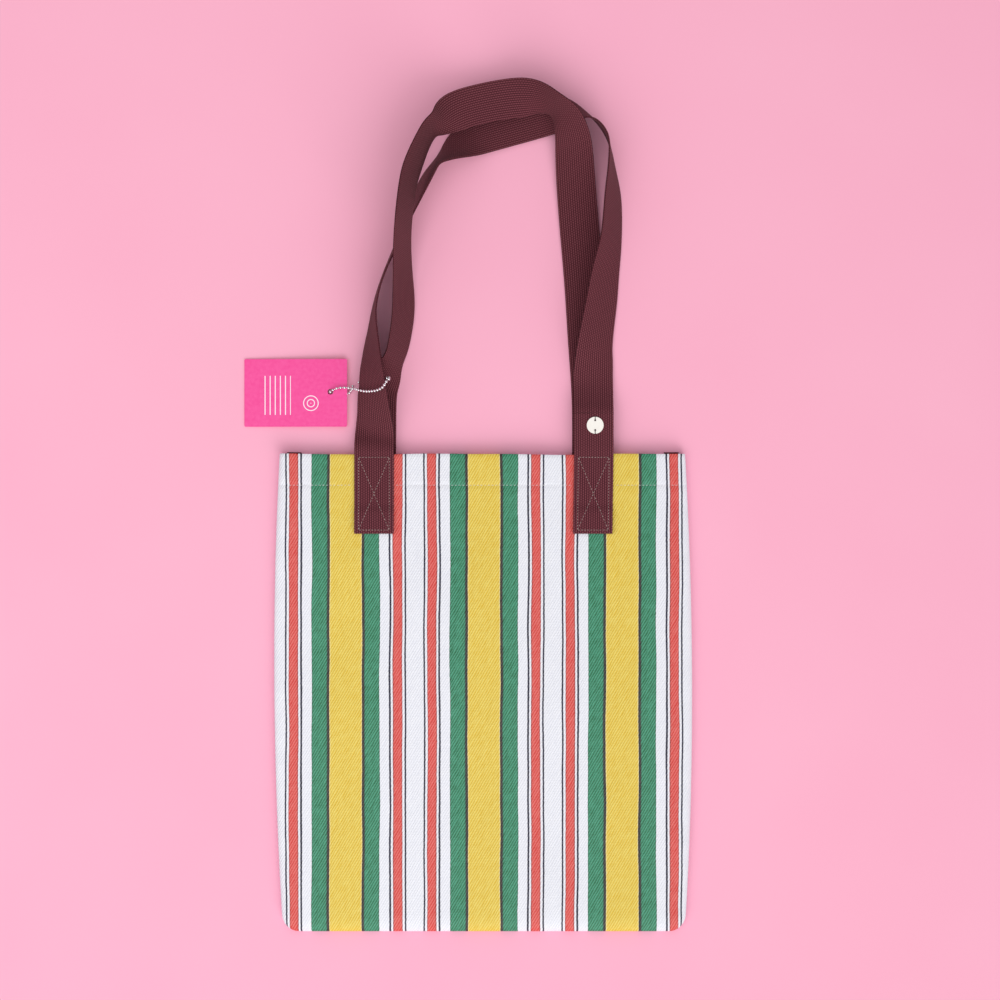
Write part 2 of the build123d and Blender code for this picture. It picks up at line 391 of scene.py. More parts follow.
@dataclass(frozen=True)
class RibbedWebbing(Finish):
    """Heavy webbing woven of spun yarn: rows of small round ribs in straight columns.

    The dull yarn catches light only on top of each rib, drawn as a painted highlight on the crowns,
    and the grooves between the columns are painted much darker as painted shade. The ribs are drawn
    slightly coarser than real ones, so that they show. Sizes are in mm.
    """

    name: str = "cotton webbing, wine"
    roughness: float = 0.85
    specular: float = 0.16
    column: float = 1.8
    row: float = 2.0
    rib_height: float = 0.3
    groove_shade_colour: str = "38121A"
    yarn_colour: str = "6C343D"
    crown_highlight_colour: str = "92595F"

    def material(self) -> bpy.types.Material:
        """Builds the material, which reads the webbing's flat place in metres from its UV map."""
        material, tree, shader = self.start()
        place = add_node(tree, "UVMap", uv_map=WEAVE_UV)
        counted = add_node(
            tree,
            "VectorMath",
            {0: place, 1: (1 / (self.column * MM), 1 / (self.row * MM), 1)},
            operation="MULTIPLY",
        )
        axes = add_node(tree, "SeparateXYZ", {0: counted})
        column, row = axes.outputs[0], axes.outputs[1]
        wander = add_node(tree, "TexNoise", {"Vector": counted, "Scale": 0.9, "Detail": 2.0})
        which = add_node(tree, "Math", {0: column}, operation="FLOOR")
        parity = add_node(tree, "Math", {0: which, 1: 2.0}, operation="FLOORED_MODULO")
        staggered = add_node(tree, "Math", {0: parity, 1: 0.5, 2: row}, operation="MULTIPLY_ADD")
        wandered = add_node(
            tree, "Math", {0: wander, 1: 0.25, 2: staggered}, operation="MULTIPLY_ADD"
        )
        ribs = []
        for count in (wandered, column):
            turn = add_node(tree, "Math", {0: count, 1: math.pi}, operation="MULTIPLY")
            wave = add_node(tree, "Math", {0: turn}, operation="SINE")
            ribs.append(add_node(tree, "Math", {0: wave}, operation="ABSOLUTE"))
        row_rib, column_rib = ribs
        full_rib = add_node(tree, "Math", {0: row_rib, 1: 0.65, 2: 0.35}, operation="MULTIPLY_ADD")
        height = add_node(tree, "Math", {0: full_rib, 1: column_rib}, operation="MULTIPLY")
        # Painted shade and highlight: the colour darkens towards the groove shade where the ribs
        # sink, and lightens towards the crown highlight on the rib tops, broken up by noise.
        body = add_node(tree, "MapRange", {0: height, 1: 0.1, 2: 0.6, 3: 0.0, 4: 1.0})
        crown = add_node(tree, "MapRange", {0: height, 1: 0.72, 2: 1.0, 3: 0.0, 4: 1.0})
        crown_highlight_share = add_node(tree, "Math", {0: crown, 1: wander}, operation="MULTIPLY")
        yarn = add_node(
            tree,
            "Mix",
            {
                0: body,
                6: hex_colour(self.groove_shade_colour),
                7: hex_colour(self.yarn_colour),
            },
            data_type="RGBA",
        )
        colour = add_node(
            tree,
            "Mix",
            {0: crown_highlight_share, 6: yarn.outputs[2], 7: hex_colour(self.crown_highlight_colour)},
            data_type="RGBA",
        )
        shader.inputs["Sheen Weight"].default_value = 0.04
        shader.inputs["Sheen Roughness"].default_value = 0.5
        self.cover(shader, colour.outputs[2], height, self.rib_height)
        return material


@dataclass(frozen=True)
class SewingThread(Finish):
    """Twisted polyester sewing thread: a soft shine broken by the fine twist of its plies."""

    name: str = "polyester sewing thread"
    roughness: float = 0.55
    colour: str = "AE9692"
    shade: str = "7C6260"
    twist: float = 0.6
    ply_height: float = 0.08

    def material(self) -> bpy.types.Material:
        """Builds the material, whose twist is drawn as slanting bands in object space."""
        material, tree, shader = self.start()
        place = add_node(tree, "TexCoord")
        bands = add_node(
            tree,
            "TexWave",
            {
                "Vector": place.outputs["Object"],
                "Scale": 1 / (self.twist * MM) / (2 * math.pi),
                "Distortion": 1.5,
                "Detail": 1.0,
            },
            bands_direction="DIAGONAL",
        )
        colour = add_node(
            tree,
            "Mix",
            {0: bands.outputs[1], 6: hex_colour(self.shade), 7: hex_colour(self.colour)},
            data_type="RGBA",
        )
        self.cover(shader, colour.outputs[2], bands.outputs[1], self.ply_height, 0.8)
        return material


@dataclass(frozen=True)
class BrushedMetal(Finish):
    """Plated metal: bright, with faint rubbing marks of a given grain in mm.

    A plate is wholly metallic. With little metal, its pale colour is mostly diffuse and is a painted
    reflection, standing in for the bright lamp that a plate reflects.
    """

    name: str = "satin nickel plate"
    roughness: float = 0.3
    colour: str = "EDE8DC"
    worn_colour: str = "CFC6B4"
    grain: float = 0.4
    mark_depth: float = 0.03
    metallic: float = 1.0

    def material(self) -> bpy.types.Material:
        """Builds the material, whose marks are stretched noise in object space."""
        material, tree, shader = self.start()
        place = add_node(tree, "TexCoord")
        stretched = add_node(
            tree, "Mapping", {"Vector": place.outputs["Object"], "Scale": (1.0, 0.12, 1.0)}
        )
        marks = add_node(
            tree, "TexNoise", {"Vector": stretched, "Scale": 1 / (self.grain * MM), "Detail": 3.0}
        )
        colour = add_node(
            tree,
            "Mix",
            {0: marks, 6: hex_colour(self.worn_colour), 7: hex_colour(self.colour)},
            data_type="RGBA",
        )
        shader.inputs["Metallic"].default_value = self.metallic
        self.cover(shader, colour.outputs[2], marks, self.mark_depth, 0.6)
        return material


@dataclass(frozen=True)
class PrintedCard(Finish):
    """Coated card printed in one strong colour, with a plain motif and rules left white.

    The card is smooth and faintly shiny, with a little unevenness in the ink. Places and sizes
    are in mm, from the middle of the card.
    """

    name: str = "coated card, pink print"
    roughness: float = 0.42
    ink: str = "F5318F"
    thin_ink: str = "FF5CAA"
    bare: str = "FFE9F2"
    middle: tuple[float, float] = (-154.3, 245.7)
    ring_place: tuple[float, float] = (12.5, -8.5)
    ring_radius: float = 7.5
    ring_share: float = 0.13
    rule_spacing: float = 4.2
    rule_share: float = 0.1
    rules_across: tuple[float, float] = (-27.0, -4.0)
    rules_along: tuple[float, float] = (-18.0, 14.0)
    ink_height: float = 0.04

    def material(self) -> bpy.types.Material:
        """Builds the material, whose print is laid out in mm from the middle of the card."""
        material, tree, shader = self.start()
        place = add_node(tree, "TexCoord")
        laid_out = add_node(
            tree,
            "Mapping",
            {
                "Vector": place.outputs["Object"],
                "Location": (-self.middle[0], -self.middle[1], 0),
                "Scale": (1 / MM, 1 / MM, 1 / MM),
            },
        )
        axes = add_node(tree, "SeparateXYZ", {0: laid_out})
        from_ring = add_node(
            tree, "VectorMath", {0: laid_out, 1: (*self.ring_place, 0)}, operation="SUBTRACT"
        )
        level = add_node(tree, "VectorMath", {0: from_ring, 1: (1, 1, 0)}, operation="MULTIPLY")
        reach = add_node(tree, "VectorMath", {0: level}, operation="LENGTH")

        # Two rings round a dot.
        ring_step = add_node(
            tree, "Math", {0: reach.outputs[1], 1: self.ring_radius / 2.5}, operation="DIVIDE"
        )
        ring_wave = add_node(tree, "Math", {0: ring_step, 1: 0.5}, operation="PINGPONG")
        ring_line = add_node(tree, "Math", {0: ring_wave, 1: self.ring_share}, operation="LESS_THAN")
        ring_end = add_node(
            tree, "Math", {0: reach.outputs[1], 1: self.ring_radius + 0.5}, operation="LESS_THAN"
        )
        rings = add_node(tree, "Math", {0: ring_line, 1: ring_end}, operation="MULTIPLY")

        # Upright plain rules beside the rings.
        rule_step = add_node(
            tree, "Math", {0: axes.outputs[0], 1: self.rule_spacing}, operation="DIVIDE"
        )
        rule_wave = add_node(tree, "Math", {0: rule_step, 1: 0.5}, operation="PINGPONG")
        rules = add_node(tree, "Math", {0: rule_wave, 1: self.rule_share}, operation="LESS_THAN")
        for axis, (low, high) in zip(axes.outputs, (self.rules_across, self.rules_along)):
            for test, edge in (("GREATER_THAN", low), ("LESS_THAN", high)):
                limit = add_node(tree, "Math", {0: axis, 1: edge}, operation=test)
                rules = add_node(tree, "Math", {0: rules, 1: limit}, operation="MULTIPLY")
        printed = add_node(tree, "Math", {0: rings, 1: rules}, operation="MAXIMUM")
        mottle = add_node(
            tree,
            "TexNoise",
            {"Vector": place.outputs["Object"], "Scale": 1 / (3.0 * MM), "Detail": 4.0},
        )
        inked = add_node(
            tree,
            "Mix",
            {0: mottle, 6: hex_colour(self.ink), 7: hex_colour(self.thin_ink)},
            data_type="RGBA",
        )
        colour = add_node(
            tree,
            "Mix",
            {0: printed, 6: inked.outputs[2], 7: hex_colour(self.bare)},
            data_type="RGBA",
        )
        self.cover(shader, colour.outputs[2], mottle, self.ink_height, 0.5)
        return material


@dataclass(frozen=True)
class PaintedTable(Finish):
    """A table top painted matt pink: an even, dull surface with a barely seen roller mottle."""

    name: str = "matt paint, pale pink"
    roughness: float = 1.0
    specular: float = 0.05
    paint: str = "FDB2CB"
    thin_paint: str = "FFBAD1"

    def material(self) -> bpy.types.Material:
        """Builds the material from broad soft noise."""
        material, tree, shader = self.start()
        place = add_node(tree, "TexCoord")
        mottle = add_node(
            tree, "TexNoise", {"Vector": place.outputs["Object"], "Scale": 6.0, "Detail": 2.0}
        )
        colour = add_node(
            tree,
            "Mix",
            {0: mottle, 6: hex_colour(self.paint), 7: hex_colour(self.thin_paint)},
            data_type="RGBA",
        )
        tree.links.new(colour.outputs[2], shader.inputs["Base Color"])
        return material


# ---------------------------------------------------------------------------------------------
# Sub-assemblies
# ---------------------------------------------------------------------------------------------


@dataclass
class BagCloth:
    """The cloth of the bag: one sheet folded at the foot, seamed at the sides, hemmed inside.

    All sizes are in millimetres. It is shaped as a shallow shell that lies on its back, rolls
    over at its sides and foot, and is lifted where the back handle's ends lie under it. The
    mouth lies mouth_skew to the left of the foot. The fields lift_across, lift_level and
    lift_length are not used.
    """

    half_height: float = 195.0
    mouth_width: float = 333.0
    belly_width: float = 343.2
    foot_width: float = 330.0
    foot_corner: float = 14.0
    front_level: float = 9.75
    side_level: float = 4.1
    back_level: float = 0.2
    side_roll: float = 7.0
    foot_roll: float = 13.0
    hem_depth: float = 27.0
    hem_inset: float = 1.15
    cloth: float = 0.5
    half_cloth_width: float = 169.2
    seam_pinch: float = 0.7
    mouth_skew: float = 1.2
    columns: int = 128
    rows: int = 104
    hem_rows: int = 8
    patch_middle: float = 89.0
    patch_foot: float = 131.0
    front_patch_middle: float = 89.6
    back_patch_middle: float = 88.2
    webbing_rise: float = 1.75
    doubled_rise: float = 1.3
    groove_depth: float = 0.45
    lift_across: tuple[float, float] = (26.0, 70.0)
    lift_level: tuple[float, float] = (4.2, 7.5)
    lift_length: float = 45.0
    stitch_reach: float = 158.0
    stitch_pitch: float = 3.0
    stitch_half: float = 1.05
    stitch_proud: float = 0.03
    stitch_gap: float = 18.0
    thread_radius: float = 0.17

    @property
    def stitch_row(self) -> float:
        """The height up the bag of the stitches that hold the hem."""
        return self.half_height - self.hem_depth + 2.0

    def half_width(self, y: float) -> float:
        """Half the width of the bag across, at a height y."""
        slant = (self.mouth_width - self.foot_width) / 4 / self.half_height
        bow = (self.belly_width - (self.mouth_width + self.foot_width) / 2) / 2
        width = self.belly_width / 2 + slant * y - bow * (y / self.half_height) ** 2
        drop = self.foot_corner - (y + self.half_height)
        if drop > 0:
            width -= self.foot_corner - math.sqrt(max(0.0, self.foot_corner**2 - drop**2))
        return width

    def relief(self, x: float, y: float) -> float:
        """The soft unevenness of the front cloth, which dies out under the handle ends."""
        broad = noise.noise(Vector((x / 90, y / 120, 3.1)))
        middle = noise.noise(Vector((x / 34, y / 58, 8.4)))
        drag = noise.noise(Vector(((x - 0.4 * y) / 20, (y + 0.6 * x) / 110, 1.7)))
        free = 1 - smooth_share(y, self.patch_foot - 22, self.patch_foot - 2) * (
            1 - smooth_share(abs(abs(x) - self.patch_middle), 17, 34)
        )
        groove = self.groove_depth * math.exp(-(((y - self.stitch_row) / 1.5) ** 2))
        edge = self.half_width(y) - abs(x)
        pucker = noise.noise(Vector((math.copysign(4.0, x) + edge / 60, y / 13, 6.6)))
        beside = math.exp(-((edge / 16) ** 2))
        low = y + self.half_height
        crease = noise.noise(Vector((x / 15, 2.2 + low / 70, 9.1))) * math.exp(-((low / 20) ** 2))
        soft = 1.5 * broad + 0.8 * middle + 0.5 * drag + 0.8 * beside * pucker + 0.6 * crease
        return free * (soft - groove)

    def front_z(self, x: float, y: float) -> float:
        """The level of the front cloth's outer face."""
        aside = swell(self.half_width(y) - abs(x), self.side_roll)
        above = swell(y + self.half_height, self.foot_roll)
        top = self.front_level + self.relief(x, y)
        return self.side_level + (top - self.side_level) * aside * above

    def back_z(self, x: float, y: float) -> float:
        """The level of the back cloth's outer face, raised over the back handle's ends."""
        over = 1 - smooth_share(abs(abs(x) - self.back_patch_middle), 16.5, 24)
        over *= smooth_share(y, self.patch_foot - 7, self.patch_foot - 0.5)
        folded = 1 - smooth_share(y, self.patch_foot + 18, self.patch_foot + 27)
        aside = swell(self.half_width(y) - abs(x), self.side_roll / 2)
        above = swell(y + self.half_height, self.foot_roll / 2)
        level = self.back_level + over * (self.webbing_rise + self.doubled_rise * folded)
        return self.side_level - (self.side_level - level) * aside * above

    def ring_point(self, around: float, y: float, inset: float) -> Vector:
        """One point of the shell.

        Args:
            around: The share of the way round, from the left side over the front to the right
                side at a half, and back under the back to the left side at one.
            y: The height up the bag.
            inset: How far inside the outer face it lies.

        Returns:
            The point, in millimetres.
        """
        share = 2 * around if around <= 0.5 else 2 * (1 - around)
        spread = 0.34 * share + 0.66 * (1 - math.cos(math.pi * share)) / 2
        width = self.half_width(y)
        x = (2 * spread - 1) * width
        if around <= 0.5:
            z = self.front_z(x, y) - inset
        else:
            z = self.back_z(x, y) + inset
        z = z if width - abs(x) > 1e-4 else self.side_level
        pinch = self.seam_pinch if width - abs(x) < 1e-4 else 0.0
        wave = 1.3 * noise.noise(Vector((x / 62, 0.4, 5.2))) * smooth_share(y, 150, 195)
        skew = self.mouth_skew * smooth_share(y, -self.half_height, self.half_height)
        return Vector((x * (width - inset - pinch) / width - skew, y + wave, z))

    def row_places(self) -> list[tuple[float, float, float]]:
        """Where each row lies: its height up the bag, its inset and its place on the flat cloth."""
        places = []
        heights = [(2 * row / self.rows - 1) * self.half_height for row in range(self.rows + 1)]
        heights += [self.stitch_row + step for step in (-2.4, -1.2, 0.0, 1.2, 2.4)]
        heights += [self.half_height * -1 + step for step in (0.5, 1.3, 2.4)]
        for y in sorted(heights):
            places.append((y, 0.0, y))
        radius = self.hem_inset / 2
        for turn in (0.33, 0.67):
            swing = math.pi * turn
            bulge = radius * math.sin(swing)
            inset = radius * (1 - math.cos(swing))
            places.append((self.half_height + bulge, inset, self.half_height + 2 * inset))
        for row in range(self.hem_rows + 1):
            depth = self.hem_depth * row / self.hem_rows
            places.append((self.half_height - depth, self.hem_inset, self.half_height + 2 + depth))
        return places

    def flat_across(self, ring: list[Vector]) -> list[float]:
        """Where the points of one face lie across the flat cloth.

        Args:
            ring: The points of one face, from its left side to its right side.

        Returns:
            Each point's distance from the middle, measured along the cloth.
        """
        middle = len(ring) // 2
        flat = [ring[middle].x] * len(ring)
        for index in range(middle + 1, len(ring)):
            flat[index] = flat[index - 1] + (ring[index] - ring[index - 1]).length
        for index in range(middle - 1, -1, -1):
            flat[index] = flat[index + 1] - (ring[index] - ring[index + 1]).length
        return flat

    def follow_mouth(self, piece: bpy.types.Object) -> None:
        """Bakes a piece's place into its mesh."""
        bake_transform(piece)

    def build(self, material: bpy.types.Material) -> bpy.types.Object:
        """Builds the cloth.

        Args:
            material: The cloth's finish.

        Returns:
            The piece, which stands for the cloth solids of the frame.
        """
        places = self.row_places()
        around_count = 2 * self.columns
        rings = []
        flats = []
        for y, inset, _ in places:
            ring = [self.ring_point(i / around_count, y, inset) for i in range(around_count + 1)]
            front = self.flat_across(ring[: self.columns + 1])
            back = self.flat_across(ring[: self.columns - 1 : -1])
            turned = [2 * self.half_cloth_width - across for across in reversed(back)]
            rings.append(ring)
            flats.append((front, turned))
        shape = bmesh.new()
        bmesh.ops.create_grid(
            shape, x_segments=around_count, y_segments=len(places) - 1, size=1.0
        )
        weave = shape.loops.layers.uv.new(WEAVE_UV)
        cells = {}
        for vertex in shape.verts:
            column = round((vertex.co.x + 1) / 2 * around_count)
            row = round((vertex.co.y + 1) / 2 * (len(places) - 1))
            cells[vertex] = (column, row)
        for face in shape.faces:
            on_front = face.calc_center_median().x < 0
            for loop in face.loops:
                column, row = cells[loop.vert]
                front, turned = flats[row]
                across = front[column] if on_front else turned[column - self.columns]
                loop[weave].uv = (across * MM, places[row][2] * MM)
        for vertex, (column, row) in cells.items():
            vertex.co = rings[row][column] * MM
        bmesh.ops.remove_doubles(shape, verts=shape.verts, dist=0.02 * MM)
        bmesh.ops.dissolve_degenerate(shape, edges=shape.edges, dist=0.01 * MM)
        bmesh.ops.recalc_face_normals(shape, faces=shape.faces)
        piece = make_piece("bag_cloth", shape, material)
        give_thickness(piece, self.cloth * MM, -1.0)
        self.follow_mouth(piece)
        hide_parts("front_panel", "front_panel_centre", "back_panel")
        return piece

    def hem_stitches(self, material: bpy.types.Material) -> bpy.types.Object:
        """Builds the line of stitches that holds the hem, on the front and on the back."""
        shape = bmesh.new()
        y = self.stitch_row
        faces = (
            (self.front_z, self.front_patch_middle, self.stitch_proud),
            (self.back_z, self.back_patch_middle, -self.stitch_proud),
        )
        for index in range(int(2 * self.stitch_reach / self.stitch_pitch) + 1):
            x = self.stitch_pitch * index - self.stitch_reach
            group = bmesh.new()
            for level, patch, rise in faces:
                if abs(abs(x) - patch) < self.stitch_gap:
                    continue
                start, end = (
                    Vector((spot, y, level(spot, y) + rise))
                    for spot in (x - self.stitch_half, x + self.stitch_half)
                )
                add_stitch(group, start, end, self.thread_radius)
            add_group(shape, group)
        piece = make_piece("hem_stitching", shape, material)
        self.follow_mouth(piece)
        return piece


def add_stitch(shape: bmesh.types.BMesh, start: Vector, end: Vector, radius: float) -> None:
    """Adds one stitch, a short plump thread from start to end, all in millimetres."""
    run = end - start
    turn = run.to_track_quat("X", "Z").to_matrix().to_4x4()
    size = Matrix.Diagonal((run.length / 2, radius, radius * 0.8, 1))
    place = Matrix.Translation((start + end) / 2 * MM) @ turn @ size @ Matrix.Scale(MM, 4)
    bmesh.ops.create_uvsphere(shape, u_segments=8, v_segments=5, radius=1.0, matrix=place)


def add_group(shape: bmesh.types.BMesh, group: bmesh.types.BMesh) -> None:
    """Moves a small group of stitches into a larger shape, and frees the group."""
    carrier = bpy.data.meshes.new("group")
    group.to_mesh(carrier)
    group.free()
    shape.from_mesh(carrier)
    bpy.data.meshes.remove(carrier)


def stitch_line(
    shape: bmesh.types.BMesh, corners: list[Vector], pitch: float, radius: float
) -> None:
    """Adds a line of stitches through corners.

    Args:
        shape: The mesh that the stitches go into.
        corners: The line's corners, in millimetres.
        pitch: The length of a stitch and its gap.
        radius: The thread's radius.
    """
    for start, end in zip(corners, corners[1:]):
        run = end - start
        count = max(1, round(run.length / pitch))
        group = bmesh.new()
        for index in range(count):
            near = start + run * ((index + 0.14) / count)
            far = start + run * ((index + 0.86) / count)
            add_stitch(group, near, far, radius)
        add_group(shape, group)


@dataclass
class HandleStrap:
    """One webbing handle: a single strip sewn to a face of the bag at both of its ends.

    All sizes are in millimetres. The route holds the stations of the free loop, each with its
    place and its tilt in degrees. The seat is the level of the face that it is sewn to, and the
    offset is how far each sewn end is from the bag's middle. The right one's foot is set aside
    by its lean, a share of its length. The box of stitches stands in from the webbing's edges.
    """

    name: str
    node: str
    route: list[Station]
    seat: float
    offset: float
    width: float = 32.0
    webbing: float = 1.35
    sewn_length: float = 64.0
    turned_under: float = 17.5
    lean: float = 0.0
    half_height: float = 195.0
    strip_columns: int = 10
    steps: int = 6
    box_foot: float = 2.5
    box_head: float = 2.3
    box_side: float = 3.5
    stitch_pitch: float = 2.5
    thread_radius: float = 0.3

    def sewn_level(self, y: float) -> float:
        """The level of the middle of the webbing's upper layer, at a height up the bag."""
        step_end = self.half_height - self.sewn_length + self.turned_under
        doubled = 1 - smooth_share(y, step_end, step_end + 5)
        return self.seat + self.webbing / 2 + 0.08 + doubled * (self.webbing + 0.15)

    def sewn_end(self, side: Side) -> list[tuple[Vector, Vector]]:
        """The strip's places from its raw end to the mouth, at one side.

        Args:
            side: The side of the bag that it is sewn to.

        Returns:
            The middle of the strip and its direction across, at each place.
        """
        foot = self.half_height - self.sewn_length
        low = self.seat + self.webbing / 2 + 0.08
        high = self.sewn_level(foot)
        radius = (high - low) / 2
        points = []
        for share in range(7):
            points.append((foot + radius + (self.turned_under - radius) * (1 - share / 6), low))
        for turn in (0.2, 0.4, 0.6, 0.8):
            swing = math.pi * turn
            points.append(
                (foot + radius - radius * math.sin(swing), low + radius * (1 - math.cos(swing)))
            )
        steps = 26
        for step in range(steps + 1):
            y = foot + radius + (self.sewn_length - radius) * step / steps
            points.append((y, self.sewn_level(y)))
        across = Vector((-side.value, 0, 0))
        return [(Vector((self.sewn_middle(side, y), y, z)), across) for y, z in points]

    def sewn_middle(self, side: Side, y: float) -> float:
        """The middle of a sewn end across the bag, at a height up the bag."""
        lean = self.lean if side == Side.RIGHT else 0.0
        return side.value * self.offset - lean * (self.half_height - y)

    def loop(self) -> list[tuple[Vector, Vector]]:
        """The free loop's places, as the middle of the strip and its direction across."""
        route = relax_route(smooth_route(self.route, self.steps), 5)
        places = []
        for index, (x, y, z, tilt) in enumerate(route):
            ahead = route[min(index + 1, len(route) - 1)]
            behind = route[max(index - 1, 0)]
            heading = Vector((ahead[0] - behind[0], ahead[1] - behind[1], 0)).normalized()
            lean = math.radians(tilt)
            across = Vector(
                (heading.y * math.cos(lean), -heading.x * math.cos(lean), -math.sin(lean))
            )
            places.append((Vector((x, y, z)), across))
        return places

    def strip(self) -> list[tuple[Vector, Vector]]:
        """All of the strip's places, from the raw left end to the raw right end."""
        left = self.sewn_end(Side.LEFT)
        right = self.sewn_end(Side.RIGHT)
        return left + self.loop() + right[::-1]

    def build(self, material: bpy.types.Material) -> bpy.types.Object:
        """Builds the strip.

        Args:
            material: The webbing's finish.

        Returns:
            The piece, which stands for the loop and both sewn ends of the frame.
        """
        places = self.strip()
        lengths = [0.0]
        for (near, _), (far, _) in zip(places, places[1:]):
            lengths.append(lengths[-1] + (far - near).length)
        shape = bmesh.new()
        bmesh.ops.create_grid(
            shape, x_segments=self.strip_columns, y_segments=len(places) - 1, size=1.0
        )
        weave = shape.loops.layers.uv.new(WEAVE_UV)
        half = self.width / 2
        for face in shape.faces:
            for loop in face.loops:
                row = round((loop.vert.co.y + 1) / 2 * (len(places) - 1))
                loop[weave].uv = (loop.vert.co.x * half * MM, lengths[row] * MM)
        for vertex in shape.verts:
            row = round((vertex.co.y + 1) / 2 * (len(places) - 1))
            middle, across = places[row]
            vertex.co = (middle - across * (vertex.co.x * half)) * MM
        piece = make_piece(self.name, shape, material)
        give_thickness(piece, self.webbing * MM, 0.0)
        round_edges(piece, 0.4 * MM)
        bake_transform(piece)
        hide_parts(self.node, f"{self.node}_left_end", f"{self.node}_right_end")
        log.info("%s: %.0f mm of webbing", self.name, lengths[-1])
        return piece

    def stitches(self, shape: bmesh.types.BMesh, outer: int) -> None:
        """Adds the box and cross of stitches on both sewn ends.

        Args:
            shape: The mesh that the stitches go into.
            outer: 1 if the webbing's upper face shows, -1 if its lower one does.
        """
        low = self.half_height - self.sewn_length + self.box_foot
        high = self.half_height - self.box_head
        aside = self.width / 2 - self.box_side
        for side in Side:
            box = [(-aside, low), (-aside, high), (aside, high), (aside, low), (-aside, low)]
            runs = [box, [(-aside, low), (aside, high)], [(aside, low), (-aside, high)]]
            for run in runs:
                for (x_start, y_start), (x_end, y_end) in zip(run, run[1:]):
                    pieces = 8 if y_start != y_end else 1
                    corners = []
                    for step in range(pieces + 1):
                        share = step / pieces
                        y = y_start + (y_end - y_start) * share
                        x = self.sewn_middle(side, y) + x_start + (x_end - x_start) * share
                        corners.append(Vector((x, y, self.stitch_level(y, outer))))
                    stitch_line(shape, corners, self.stitch_pitch, self.thread_radius)

    def stitch_level(self, y: float, outer: int) -> float:
        """The level of a stitch on the sewn end, on its upper or lower face."""
        if outer > 0:
            return self.sewn_level(y) + self.webbing / 2 + 0.05
        return self.seat


FRONT_ROUTE: list[Station] = [
    (-89.6, 196.4, 11.25, 0),
    (-89.6, 199.5, 11.25, 0),
    (-89.6, 204, 10, 0),
    (-89.5, 211, 7.2, -7),
    (-89.4, 219, 8.8, -20),
    (-89.7, 233, 16.5, -35),
    (-90.1, 249, 22.6, -45),
    (-90.6, 261, 26, -51),
    (-90.8, 273, 23.6, -59),
    (-90.7, 285, 19.6, -66),
    (-90.3, 297, 17, -74),
    (-89.6, 310, 16.6, -80),
    (-85.9, 328, 16.6, -83),
    (-78.7, 348, 16.6, -83),
    (-69.6, 368, 16.6, -80),
    (-60.6, 389.5, 16.4, -76),
    (-52.5, 408, 16, -71),
    (-44.7, 423, 16, -71),
    (-38.5, 432, 16, -74),
    (-30.5, 438.5, 14.5, -62),
    (-19.6, 447.5, 9.6, -34),
    (-4.4, 456, 3.4, -9),
    (20, 463.5, 1.8, -3),
    (45, 470.5, 1.8, -3),
    (58, 473.5, 4.4, -12),
    (69, 473.5, 10.8, -38),
    (80, 471.5, 15.6, -67),
    (89, 467.5, 16.6, -81),
    (96.5, 460, 16.8, -86),
    (102, 448.5, 16.8, -86),
    (104, 428, 16.5, -77),
    (105, 404, 15.2, -63),
    (103.7, 371, 14.4, -57),
    (99, 343.5, 12.3, -45),
    (96.2, 321, 11, -38),
    (91, 288, 9.2, -29),
    (90, 272, 6, -16),
    (89.5, 260, 3.9, -5),
    (89.6, 250, 4.1, -1),
    (89.6, 240, 7, 0),
    (89.6, 232, 10.7, 0),
    (89.6, 228.6, 11.25, 0),
    (89.6, 227, 11.25, 0),
    (89.6, 196.4, 11.25, 0),
]
BACK_ROUTE: list[Station] = [
    (-88.2, 196.4, 0.75, 0),
    (-88, 215, 0.9, 0),
    (-87.8, 235, 1.3, 2),
    (-86.5, 249, 3.5, 9),
    (-80.2, 260, 10.5, 36),
    (-74.2, 270, 15.2, 63),
    (-69.6, 283, 15.2, 62),
    (-65.9, 305, 15.5, 60),
    (-65.1, 323, 17, 60),
    (-65.4, 340, 23, 64),
    (-65.4, 354, 32.5, 66),
    (-64.8, 366, 43, 68),
    (-63.8, 378, 50.5, 69),
    (-62.4, 393, 49.5, 69),
    (-60.9, 408, 43.5, 69),
    (-56.8, 427, 35, 67),
    (-45, 455.5, 29, 72),
    (-35, 462.5, 26.5, 58),
    (-22, 473.5, 18.5, 14),
    (0, 480.5, 15.5, 5),
    (24, 484.5, 16, 12),
    (42.5, 483.5, 22, 44),
    (57, 477.5, 28.5, 67),
    (67, 466.5, 26.5, 49),
    (71.6, 453, 19, 31),
    (73.4, 441, 12, 20),
    (75.5, 412, 5, 8),
    (78.6, 374, 2.2, 3),
    (82, 335, 1, 0),
    (84.8, 289, 0.9, 0),
    (88, 243, 0.9, 0),
    (88.2, 196.4, 0.75, 0),
]


